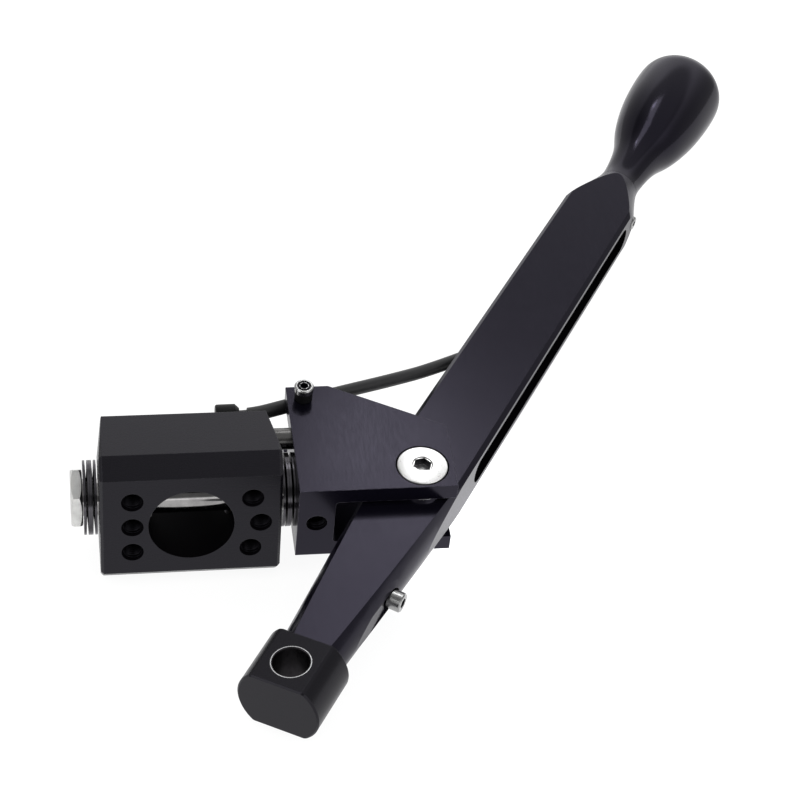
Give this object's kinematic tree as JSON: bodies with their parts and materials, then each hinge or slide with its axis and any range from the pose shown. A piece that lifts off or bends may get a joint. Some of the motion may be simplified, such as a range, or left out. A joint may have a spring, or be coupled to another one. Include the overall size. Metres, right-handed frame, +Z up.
{
  "type": "short shifter",
  "caption": "Short-throw gear lever with turned knob, forked pivot, side-swinging cross shaft in a bolted bearing block, and a swivelling selector-rod barrel.",
  "frame": {"origin": "on the cross shaft's axis at the bearing block's mid-length", "axes": "+X along the cross shaft from the bearing block towards the fork and lever, +Y away from the block's tapped face, +Z up as the object lies in the picture"},
  "size_m": [0.3544, 0.4195, 0.0924],
  "materials": {
    "black_anodised": "black anodised, satin",
    "knob_black": "black anodised, polished",
    "steel": "ground",
    "stainless": "stainless, satin to bright",
    "spring_steel": "oiled spring steel",
    "black_steel": "black oxide",
    "bronze": "sintered bronze",
    "cable_jacket": "matte black jacket",
    "fitting_plastic": "moulded black"
  },
  "bodies": {
    "block": {"bearing_block": "black_anodised", "block_bush_left": "bronze", "block_bush_right": "bronze"},
    "fork": {"main_shaft": "steel", "lock_nut": "stainless", "disc_springs_left": "spring_steel", "disc_springs_right": "spring_steel", "clevis": "black_anodised", "clevis_grub_screw": "black_steel", "stop_pin": "stainless", "cable_clamp": "black_anodised", "cable_clamp_screw": "stainless", "clamp_screw_collar": "fitting_plastic", "lockout_cable": "cable_jacket", "cable_sleeve": "cable_jacket", "cable_core": "cable_jacket", "cable_end_fitting": "fitting_plastic", "pivot_bolt": "stainless", "pivot_spacer": "steel", "pivot_nut": "stainless", "pivot_nut_washer": "stainless"},
    "lever": {"lever": "black_anodised", "pivot_bush": "bronze", "pivot_washer_upper": "stainless", "pivot_washer_lower": "stainless", "lever_clamp_screw": "stainless", "lever_top_screw": "stainless", "knob_stud": "steel", "knob": "knob_black"},
    "barrel": {"rod_barrel": "black_anodised", "rod_barrel_bush": "steel"}
  },
  "joints": [
    {"name": "gate_swing", "type": "hinge", "parent": "block", "child": "fork", "pos_m": [0, 0, 0], "axis": [1, 0, 0], "range_deg": [-17, 2]},
    {"name": "lever_pivot", "type": "hinge", "parent": "fork", "child": "lever", "pos_m": [0.0998, -0.00803, -0.00106], "axis": [0, -0.1305, 0.9914], "range_deg": [-8, 8]},
    {"name": "barrel_swivel", "type": "hinge", "parent": "lever", "child": "barrel", "pos_m": [0.0426, -0.09332, -0.01229], "axis": [0.5432, 0.8324, 0.1096], "range_deg": [-20, 20]}
  ]
}
